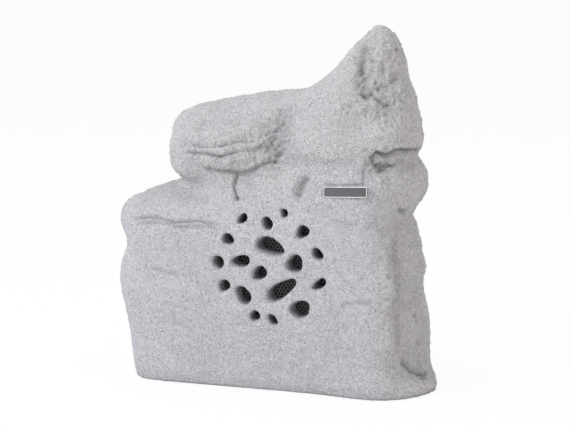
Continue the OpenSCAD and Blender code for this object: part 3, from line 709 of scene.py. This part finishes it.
def inside_of(points, normals):
    """Which points of the shell face its hollow: they look far across it, or they are at the base plate."""
    joined = bmesh.new()
    for name in ("rock_shell", "base_plate"):
        joined.from_mesh(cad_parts[name].data)
    tree = BVHTree.FromBMesh(joined)
    joined.free()
    base = bmesh.new()
    base.from_mesh(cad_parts["base_plate"].data)
    base_tree = BVHTree.FromBMesh(base)
    base.free()
    across, start, reach = 48 * MM, 3 * MM, 3 * MM
    plate_zone, underside, downwards = 22 * MM, 2.4 * MM, -0.85
    inside = np.zeros(len(points), bool)
    for index, (point, normal) in enumerate(zip(points, normals)):
        here, way = Vector(point), Vector(normal)
        hit = tree.ray_cast(here + way * start, way)
        inside[index] = hit[0] is not None and hit[3] > across
        if point[2] < plate_zone and not inside[index]:
            inside[index] = base_tree.find_nearest(here, reach)[0] is not None
    return inside | ((points[:, 2] < underside) & (normals[:, 2] < downwards))


def eased(value):
    value = np.clip(value, 0, 1)
    return value * value * (3 - 2 * value)


def bell(distance):
    """1 in the middle, falling to almost nothing at twice the distance of 1."""
    return np.exp(-(distance**2))


def bells(points, middle, reach):
    """The same around a middle, with its own reach along each axis, in millimetres."""
    return bell(np.linalg.norm((points - np.array(middle) * MM) / (np.array(reach) * MM), axis=1))


def distance_to_line(points, line, sight):
    """Distance from each point to a line, mostly as the camera sees it, and how far along it is nearest."""
    flattening = 0.9
    across = points - np.outer(points @ sight, sight) * flattening
    path = line - np.outer(line @ sight, sight) * flattening
    best = np.full(len(points), np.inf)
    along = np.zeros(len(points))
    spans = np.linalg.norm(np.diff(path, axis=0), axis=1)
    total, gone = spans.sum(), 0.0
    for start, end, span in zip(path[:-1], path[1:], spans):
        step = end - start
        share = np.clip((across - start) @ step / max(step @ step, 1e-12), 0, 1)
        away = np.linalg.norm(across - (start + share[:, None] * step), axis=1)
        nearer = away < best
        best[nearer] = away[nearer]
        along[nearer] = (gone + share[nearer] * span) / total
        gone += span
    return best, along


def carve(points, normals, outside):
    """How far the strokes move each outer point along its normal, and how much painted shade they leave on
    it.
    """
    sight = np.array(TOWARDS_CAMERA)
    depth_of_view, margin, ends = 45 * MM, 20 * MM, 6
    moved = np.zeros(len(points))
    hollow = np.zeros(len(points))
    facing = outside & (normals @ sight > 0.05)
    wobble = np.array([noise.noise(Vector(p) * 70) + 0.7 * noise.noise(Vector(p) * 210) for p in points])
    for width, depth, lip, painted_shade, line in STROKES.values():
        line = np.array(line) * MM
        width, depth, lip = width * MM, depth * MM, lip * MM
        around = 5 * width + margin
        near = facing & (np.abs(points @ sight - (line @ sight).mean()) < depth_of_view)
        near &= ((points > line.min(0) - around) & (points < line.max(0) + around)).all(1)
        index = np.nonzero(near)[0]
        away, along = distance_to_line(points[index], line, sight)
        away = away * (1 + 0.5 * wobble[index] * min(1, 4 * MM / width))
        above, _ = distance_to_line(points[index], line + np.array((0, 0, 2.4 * width)), sight)
        taper = eased(np.minimum(along, 1 - along) * ends + 0.25)
        groove = depth * (1 + 0.7 * wobble[index]) * bell(away / width)
        moved[index] += (lip * bell(above / (1.4 * width)) - groove) * taper
        # Painted shade along each crease, darkest at its middle.
        hollow[index] = np.maximum(hollow[index], painted_shade * bell(away / (0.8 * width)) * taper)
    return moved, hollow


def relief(points, rough):
    """Height of the cast relief at each point, from broad swells down to pimples."""
    look = bpy.context.scene.speaker_stone
    noise.seed_set(SEED)
    heights = np.zeros(len(points))
    for index, (point, strength) in enumerate(zip(points, rough)):
        here = Vector(point)
        bent = here + 5 * MM * noise.noise_vector(here * 60)
        broad = noise.noise(here * 16 + Vector((3.1, 0, 0)))
        lump = noise.noise(bent * 40)
        ridge = 0.5 - 2 * abs(noise.noise(bent * 58 + Vector((1.7, 0, 4.1))))
        chip = 0.5 - 2 * abs(noise.noise(bent * 120 + Vector((0, 0, 5.3))))
        small = noise.noise(here * 230 + Vector((0, 7.7, 0)))
        heights[index] = (
            look.swell * broad * strength
            + look.lump * lump * strength
            + look.chip * (0.6 * ridge * max(0.0, broad + 0.35) + 0.4 * chip) * strength**2
            + look.pimple * small * (0.35 + 0.65 * strength)
        )
    return heights


def triangles_of(mesh):
    return sum(len(face.vertices) - 2 for face in mesh.polygons)


class SPEAKER_OT_rock(bpy.types.Operator):
    """Model the rock's stone-finish skin from the cast form"""

    bl_idname = "speaker.rock"
    bl_label = "Rock"

    def execute(self, context):
        look = context.scene.speaker_stone
        pitch = look.pitch * 1
        form = bmesh.new()
        form.from_mesh(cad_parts["rock_shell"].data)
        bmesh.ops.remove_doubles(form, verts=form.verts, dist=0.02 * MM)
        mesh = bpy.data.meshes.new("rock")
        form.to_mesh(mesh)
        form.free()
        rock = new_piece("rock", mesh)
        remesh = rock.modifiers.new("Even skin", "REMESH")
        remesh.mode = "VOXEL"
        remesh.voxel_size = pitch
        hold_modifier_result(rock)

        points = numbers_of(rock.data, "co", 3)
        inside = inside_of(points, numbers_of(rock.data, "normal", 3))
        badge, holes, kept = self.kept_places(points)
        kept[inside] = 1.0
        soft = rock.vertex_groups.new(name="soft")
        steps = 10
        for level in range(1, steps + 1):
            chosen = np.nonzero(np.round((1 - kept) * steps) == level)[0]
            if len(chosen):
                soft.add(chosen.tolist(), level / steps, "REPLACE")
        smooth = rock.modifiers.new("Soften", "SMOOTH")
        smooth.factor = 0.5
        smooth.iterations = round(look.softening * (2.2 * MM / pitch) ** 2)
        smooth.vertex_group = "soft"
        hold_modifier_result(rock)

        points = numbers_of(rock.data, "co", 3)
        normals = numbers_of(rock.data, "normal", 3)
        rough = self.roughness_of(points, badge, holes)
        moved, hollow = carve(points, normals, ~inside)
        for middle, reach, push in SWELLS.values():
            moved += push * MM * bells(points, middle, reach)
        outer = np.nonzero(~inside)[0]
        moved[outer] += relief(points[outer], rough[outer])
        above_ground = 0.35 + 0.65 * eased((points[:, 2] - 2 * MM) / (5 * MM))
        ground = np.minimum(points[:, 2], 1.4 * MM)
        points += normals * (moved * above_ground * ~inside)[:, None]
        points[:, 2] = np.maximum(points[:, 2], ground)
        rock.data.vertices.foreach_set("co", points.astype(np.float32).ravel())

        # Painted shade on the walls of the sound holes, darker deeper in, and a painted shadow line along the
        # bottom edge.
        hole_wall_shade = eased((points[:, 1] + 95.5 * MM) / (12 * MM)) * holes * ~inside
        bottom = 1 - eased((points[:, 2] - 2 * MM) / (3 * MM))
        hollow = np.maximum.reduce((hollow, 0.7 * hole_wall_shade, 0.6 * bottom))
        # The hollow attribute holds painted shade; the other attribute holds a painted warm shade tint where
        # the rock is rough.
        for name, values in (("hollow", hollow), ("warm", eased((rough - 0.4) / 0.5))):
            mask = rock.data.attributes.new(name, "FLOAT", "POINT")
            mask.data.foreach_set("value", values.astype(np.float32))
        rock.data.update()

        count = triangles_of(rock.data)
        if count > look.most_triangles:
            thin = rock.modifiers.new("Thin", "DECIMATE")
            thin.ratio = look.most_triangles / count
            hold_modifier_result(rock)
        rock.data.polygons.foreach_set("use_smooth", np.ones(len(rock.data.polygons), bool))
        rock.data.materials.clear()
        rock.data.materials.append(stone_material(look))
        print("rock: triangles", triangles_of(rock.data))
        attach(rock, "cabinet")
        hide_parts("rock_shell")
        return {"FINISHED"}

    @staticmethod
    def kept_places(points):
        """The badge's middle, the field of the sound holes, and how much of its form each point keeps."""
        low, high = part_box("badge_plate")
        badge = np.array((low + high) / 2)
        gap = np.abs(points - badge) - np.array((30, 12, 9)) * MM
        badge_place = 1 - eased(gap.max(1) / (5 * MM))
        bottom = 1 - eased((points[:, 2] - 3 * MM) / (6 * MM))

        low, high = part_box("grille_mesh")
        middle = (low + high) / 2
        out = np.hypot(points[:, 0] - middle.x, points[:, 2] - middle.z)
        holes = (1 - eased((out - 74 * MM) / (6 * MM))) * (points[:, 1] < low.y + 2 * MM)
        depth = eased((points[:, 1] - (low.y - 24 * MM)) / (12 * MM))

        low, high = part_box("gland_body")
        middle = np.array(((low.x + high.x) / 2, 28 * MM))
        gap = np.abs(points[:, (0, 2)] - middle) - np.array((24, 34)) * MM
        recess = (1 - eased(gap.max(1) / (6 * MM))) * (points[:, 1] > 50 * MM)
        kept = np.maximum.reduce((badge_place, bottom, (0.45 + 0.45 * depth) * holes, 0.8 * recess))
        return badge, holes, kept

    @staticmethod
    def roughness_of(points, badge, holes):
        """How rough the skin is: little on the plain face, more above it and around the sides."""
        rough = 0.32 + 0.5 * eased((points[:, 2] - 200 * MM) / (90 * MM))
        rough = np.maximum(rough, 0.85 * eased((points[:, 1] + 75 * MM) / (30 * MM)))
        for middle, reach, share in ROUGH_PLACES.values():
            rough += share * bells(points, middle, reach)
        near_badge = 1 - eased((np.linalg.norm(points - badge, axis=1) - 32 * MM) / (14 * MM))
        return rough * (1 - 0.8 * near_badge) * (1 - 0.3 * holes)


# Turned pieces


def turned(outline, corner=None, steps=48):
    """A ring turned from its outline of radii and heights in millimetres, cut to a hexagon of that corner."""
    work = bmesh.new()
    line = [work.verts.new((radius * MM, 0, height * MM)) for radius, height in outline]
    edges = [work.edges.new(pair) for pair in zip(line, line[1:] + line[:1])]
    bmesh.ops.spin(
        work,
        geom=line + edges,
        cent=(0, 0, 0),
        axis=(0, 0, 1),
        dvec=(0, 0, 0),
        angle=math.tau,
        steps=steps,
        use_merge=True,
    )
    bmesh.ops.remove_doubles(work, verts=work.verts, dist=0.001 * MM)
    if corner:
        flat = corner * MM * math.cos(math.radians(30))
        for vert in work.verts:
            round_by = math.hypot(vert.co.x, vert.co.y)
            turn = math.atan2(vert.co.y, vert.co.x) % math.radians(60) - math.radians(30)
            limit = flat / math.cos(turn)
            if round_by > limit:
                vert.co.x *= limit / round_by
                vert.co.y *= limit / round_by
    bmesh.ops.recalc_face_normals(work, faces=work.faces)
    return work


def places_of(node):
    """Where each of a node's upright pieces stands, and its lowest and highest point."""
    apart = 30 * MM
    found = []
    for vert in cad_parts[node].data.vertices:
        here = vert.co
        for group in found:
            if math.hypot(here.x - group[0].x, here.y - group[0].y) < apart:
                group.append(here)
                break
        else:
            found.append([here])
    places = []
    for group in found:
        points = np.array([tuple(v) for v in group])
        low, high = points.min(0), points.max(0)
        places.append((Vector(((low[0] + high[0]) / 2, (low[1] + high[1]) / 2, 0)), low[2], high[2]))
    return places


def repeated(name, shape, spots):
    """One piece made of a shape at each of its spots."""
    single = bpy.data.meshes.new(name)
    shape.to_mesh(single)
    shape.free()
    whole = bmesh.new()
    for spot in spots:
        start = len(whole.verts)
        whole.from_mesh(single)
        whole.verts.ensure_lookup_table()
        bmesh.ops.transform(whole, matrix=spot, verts=whole.verts[start:])
    bmesh.ops.recalc_face_normals(whole, faces=whole.faces)
    mesh = bpy.data.meshes.new(name)
    whole.to_mesh(mesh)
    whole.free()
    bpy.data.meshes.remove(single)
    return new_piece(name, mesh)


def finish_piece(piece, material, node, smooth_angle=35):
    """Shades, coats and places a piece that stands for a node of the cabinet."""
    piece.data.polygons.foreach_set("use_smooth", np.ones(len(piece.data.polygons), bool))
    piece.data.set_sharp_from_angle(angle=math.radians(smooth_angle))
    piece.data.materials.clear()
    piece.data.materials.append(bpy.data.materials[material])
    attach(piece, "cabinet")
    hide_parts(node)


# Height of a screw's head, in millimetres
SCREW_HEAD = 2.6


def cross_head_screw(length):
    """Pan-head screw along +Z above its head, with a cross recess in the head."""
    head, shank, axis, crown, recess_depth = 3.8, 1.9, 0.02, 1.1, 1.6
    dome = [
        (head * math.sin(angle), -SCREW_HEAD + crown * (1 - math.cos(angle)))
        for angle in np.radians(range(90, 11, -13))
    ]
    point = [(axis, length), (shank - 0.4, length), (shank, length - 0.6)]
    work = turned(point + [(shank, 0), (head, 0)] + dome + [(axis, -SCREW_HEAD)], steps=32)
    shape = bpy.data.meshes.new("screw")
    work.to_mesh(shape)
    work.free()
    screw = new_piece("screw", shape)
    slots = bmesh.new()
    for across in ((3.9, 0.75), (0.75, 3.9)):
        arm = bmesh.ops.create_cube(slots, size=1)["verts"]
        bmesh.ops.scale(slots, vec=Vector((*across, 2 * recess_depth)) * MM, verts=arm)
        bmesh.ops.translate(slots, vec=(0, 0, -SCREW_HEAD * MM), verts=arm)
    cut = bpy.data.meshes.new("recess")
    slots.to_mesh(cut)
    slots.free()
    cutter = new_piece("recess", cut)
    recess = screw.modifiers.new("Recess", "BOOLEAN")
    recess.object = cutter
    recess.solver = "EXACT"
    recess.use_self = True
    hold_modifier_result(screw)
    done = bmesh.new()
    done.from_mesh(screw.data)
    for each in (screw, cutter):
        held = each.data
        bpy.data.objects.remove(each)
        bpy.data.meshes.remove(held)
    return done


class SPEAKER_OT_underside(bpy.types.Operator):
    """Model the rubber feet and the screws of the base"""

    bl_idname = "speaker.underside"
    bl_label = "Feet and screws"

    def execute(self, context):
        screw_well = [(2.3, 8.0), (2.3, 4.0), (4.6, 4.0), (4.6, 0.5), (5.1, 0.0)]
        sole = [(11.9, 0.0), (12.5, 0.15), (13.0, 0.6), (13.2, 1.2)]
        side = [(13.4, 1.5), (13.4, 2.1), (13.6, 2.4), (14.0, 7.4), (14.0, 8.0)]
        foot = turned(screw_well + sole + side)
        spots = [Matrix.Translation(spot) for spot, low, high in places_of("rubber_feet")]
        finish_piece(repeated("feet", foot, spots), "foot_rubber", "rubber_feet")
        for name, node in (("base_plate_screws", "base_screws"), ("feet_screws", "foot_screws")):
            places = places_of(node)
            low, high = places[0][1:]
            seat = low + SCREW_HEAD * MM
            screw = cross_head_screw((high - seat) / MM)
            spots = [
                Matrix.Translation((spot.x, spot.y, seat)) @ Matrix.Rotation(2.4 * index, 4, "Z")
                for index, (spot, _, _) in enumerate(places)
            ]
            finish_piece(repeated(name, screw, spots), "steel", node, 30)
        return {"FINISHED"}


class SPEAKER_OT_gland(bpy.types.Operator):
    """Model the cable gland in the recess at the back"""

    bl_idname = "speaker.gland"
    bl_label = "Cable gland"

    def execute(self, context):
        low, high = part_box("gland_body")
        neck = 12 * MM
        seat = high.y - neck
        turn = Matrix.Translation(((low.x + high.x) / 2, seat, (low.z + high.z) / 2))
        turn = turn @ Matrix.Rotation(math.radians(-90), 4, "X")
        groove, crest = (7.6, -13.6), (8.0, -13.2)
        thread = [(radius, height + rise) for rise in range(13) for radius, height in (groove, crest)]
        bore = [(8.0, 12.0), (6.2, 12.0), (6.2, 2.0), (4.8, 2.0), (4.8, -14.0), (7.2, -14.0)]
        hexagon = [(8.0, 0.0), (11.3, 0.0), (12.0, 0.7), (12.0, 4.4), (11.2, 5.0), (8.0, 5.0)]
        body = turned(bore + thread + hexagon, corner=12.0, steps=72)
        finish_piece(repeated("gland_base", body, [turn]), "gland_plastic", "gland_body")
        inner = [(4.8, 20.2), (4.8, 12.3), (8.2, 12.3), (8.2, 5.2)]
        hexagon = [(10.7, 5.2), (11.5, 5.9), (11.5, 12.0), (11.1, 12.7), (10.6, 12.9)]
        dome = [(10.5, 14.2), (10.2, 16.0), (9.6, 17.6), (8.7, 18.9), (7.5, 19.8), (6.4, 20.2), (5.4, 20.2)]
        nut = turned(inner + hexagon + dome, corner=11.5, steps=72)
        finish_piece(repeated("gland_cap", nut, [turn]), "gland_plastic", "gland_nut")
        return {"FINISHED"}


# Badge


class SPEAKER_OT_badge(bpy.types.Operator):
    """Model the bare badge plate with its bright rim"""

    bl_idname = "speaker.badge"
    bl_label = "Badge plate"

    def execute(self, context):
        look = context.scene.speaker_badge
        low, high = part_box("badge_plate")
        width, height, thick = 57 * MM, 13.5 * MM, 2.4 * MM
        corner, slope, sunk, soft_edge = 1.4 * MM, 0.25 * MM, 0.7 * MM, 0.18 * MM
        lean, twist = math.radians(13), math.radians(2.5)
        bevel = {"profile": 0.5, "affect": "EDGES", "material": -1}
        plate = bmesh.new()
        made = bmesh.ops.create_cube(plate, size=1)
        bmesh.ops.scale(plate, vec=(width, height, thick), verts=made["verts"])
        upright = [e for e in plate.edges if abs(e.verts[0].co.z - e.verts[1].co.z) > thick / 2]
        bmesh.ops.bevel(plate, geom=upright, offset=corner, segments=6, **bevel)
        front = max(plate.faces, key=lambda face: face.calc_center_median().z)
        bright = set()
        for inset in (look.rim, slope):
            ring = bmesh.ops.inset_region(plate, faces=[front], thickness=inset, use_even_offset=True)
            bright |= set(ring["faces"])
        bmesh.ops.translate(plate, vec=(0, 0, -sunk), verts=front.verts)
        for face in plate.faces:
            face.material_index = 0 if face in bright else 1
        outline = [
            edge
            for edge in plate.edges
            if len({face.material_index for face in edge.link_faces}) == 2
            and edge.verts[0].co.z > thick * 0.45
        ]
        bmesh.ops.bevel(plate, geom=outline, offset=soft_edge, segments=3, **bevel)
        turn = Matrix.Translation((low + high) / 2) @ Matrix.Rotation(math.radians(90) - lean, 4, "X")
        bmesh.ops.transform(plate, matrix=turn @ Matrix.Rotation(twist, 4, "Z"), verts=plate.verts)
        mesh = bpy.data.meshes.new("badge")
        plate.to_mesh(mesh)
        plate.free()
        badge = new_piece("badge", mesh)
        rim = ((0.74, 0.74, 0.76), (0.592, 0.592, 0.608), 1.0, 0.22, 0.34, 0.5, (0.15, 1, 1), 0.02)
        field = (look.field, [c * 0.8 for c in look.field], 0.0, 0.36, 0.50, 0.5, (1, 1, 1), 0.02)
        for name, finish in (("badge_rim", rim), ("badge", field)):
            mesh.materials.append(finish_material(name, finish, 9 * MM, 0.6))
        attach(badge, "cabinet")
        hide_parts("badge_plate")
        return {"FINISHED"}


# Pieces that keep their form


class SPEAKER_OT_finishes(bpy.types.Operator):
    """Give every piece that keeps its form its own finish"""

    bl_idname = "speaker.finishes"
    bl_label = "Finishes"

    def execute(self, context):
        made = {name: finish_material(name, finish) for name, finish in FINISHES.items()}
        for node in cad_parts.values():
            for holder in node.material_slots:
                name = holder.material.name.split(".")[0]
                if name in made:
                    holder.material = made[name]
        return {"FINISHED"}


# Stage


class SPEAKER_OT_stage(bpy.types.Operator):
    """Set up the pale floor, the soft light and the camera"""

    bl_idname = "speaker.stage"
    bl_label = "Stage"

    def execute(self, context):
        look = context.scene.speaker_stage
        scene = context.scene
        scene.view_settings.view_transform = "Standard"

        aim = Vector((0, 0, look.aim))
        camera = bpy.data.objects.new("camera", bpy.data.cameras.new("camera"))
        camera.data.sensor_fit = "HORIZONTAL"
        camera.data.sensor_width = 36.0
        camera.data.lens = look.lens
        camera.location = aim + TOWARDS_CAMERA * look.distance
        camera.rotation_euler = (-TOWARDS_CAMERA).to_track_quat("-Z", "Y").to_euler()
        scene.collection.objects.link(camera)
        scene.camera = camera

        world = bpy.data.worlds.new("surroundings")
        scene.world = world
        world.use_nodes = True
        tree = world.node_tree
        tree.nodes.clear()
        seen = self.seen(tree)
        sky = place(tree, "ShaderNodeBackground", {"Color": (1, 1, 1, 1), "Strength": look.sky})
        white = place(tree, "ShaderNodeBackground", {"Color": (1, 1, 1, 1), "Strength": 1.0})
        both = tree.nodes.new("ShaderNodeMixShader")
        tree.links.new(seen, both.inputs[0])
        tree.links.new(sky.outputs[0], both.inputs[1])
        tree.links.new(white.outputs[0], both.inputs[2])
        output = tree.nodes.new("ShaderNodeOutputWorld")
        tree.links.new(both.outputs[0], output.inputs["Surface"])

        floor_mesh = bmesh.new()
        bmesh.ops.create_grid(floor_mesh, x_segments=1, y_segments=1, size=16)
        mesh = bpy.data.meshes.new("floor")
        floor_mesh.to_mesh(mesh)
        floor_mesh.free()
        floor = new_piece("floor", mesh)
        material = bpy.data.materials.new("pale floor")
        material.use_nodes = True
        tree = material.node_tree
        tree.nodes.clear()
        seen = self.seen(tree)
        plain = place(tree, "ShaderNodeBsdfDiffuse", {"Color": (0.86, 0.86, 0.86, 1)})
        glow = place(tree, "ShaderNodeEmission", {"Color": (1, 1, 1, 1), "Strength": 1.0})
        both = tree.nodes.new("ShaderNodeMixShader")
        tree.links.new(sums(tree, "MULTIPLY", seen, 0.92), both.inputs[0])
        tree.links.new(plain.outputs[0], both.inputs[1])
        tree.links.new(glow.outputs[0], both.inputs[2])
        output = tree.nodes.new("ShaderNodeOutputMaterial")
        tree.links.new(both.outputs[0], output.inputs["Surface"])
        mesh.materials.append(material)

        for name, place_at, size, power, tint in (
            ("main lamp", (-1.5, -2.0, 1.75), 1.1, look.lamp, (0.98, 0.99, 1.0)),
            ("top lamp", (-0.3, 0.3, 2.6), 1.8, look.lamp * 0.3, (1.0, 1.0, 1.0)),
            ("side lamp", (2.6, -0.5, 1.0), 1.6, look.lamp * 0.25, (1.0, 0.85, 0.74)),
        ):
            data = bpy.data.lights.new(name, "AREA")
            data.size = size
            data.energy = power
            data.color = tint
            lamp = bpy.data.objects.new(name, data)
            lamp.location = place_at
            lamp.rotation_euler = (aim - lamp.location).to_track_quat("-Z", "Y").to_euler()
            scene.collection.objects.link(lamp)
        return {"FINISHED"}

    @staticmethod
    def seen(tree):
        """1 where the camera, a reflection or a clear piece looks straight at the surroundings."""
        path = tree.nodes.new("ShaderNodeLightPath")
        direct = sums(tree, "MAXIMUM", path.outputs["Is Camera Ray"], path.outputs["Is Glossy Ray"])
        return sums(tree, "MAXIMUM", direct, path.outputs["Is Transmission Ray"])


OPERATORS = (
    SPEAKER_OT_stage,
    SPEAKER_OT_finishes,
    SPEAKER_OT_rock,
    SPEAKER_OT_badge,
    SPEAKER_OT_underside,
    SPEAKER_OT_gland,
)


class SPEAKER_PT_panel(bpy.types.Panel):
    """The speaker's pieces"""

    bl_label = "Speaker"
    bl_idname = "SPEAKER_PT_panel"
    bl_space_type = "VIEW_3D"
    bl_region_type = "UI"
    bl_category = "Speaker"

    def draw(self, context):
        for operator in OPERATORS:
            self.layout.operator(operator.bl_idname)


CLASSES = (*SETTINGS.values(), *OPERATORS, SPEAKER_PT_panel)


def register():
    for each in CLASSES:
        bpy.utils.register_class(each)
    for name, group in SETTINGS.items():
        setattr(bpy.types.Scene, name, PointerProperty(type=group))


def unregister():
    for name in SETTINGS:
        delattr(bpy.types.Scene, name)
    for each in reversed(CLASSES):
        bpy.utils.unregister_class(each)


def main():
    register()
    for operator in OPERATORS:
        group, name = operator.bl_idname.split(".")
        getattr(getattr(bpy.ops, group), name)()


if __name__ == "__main__":
    main()
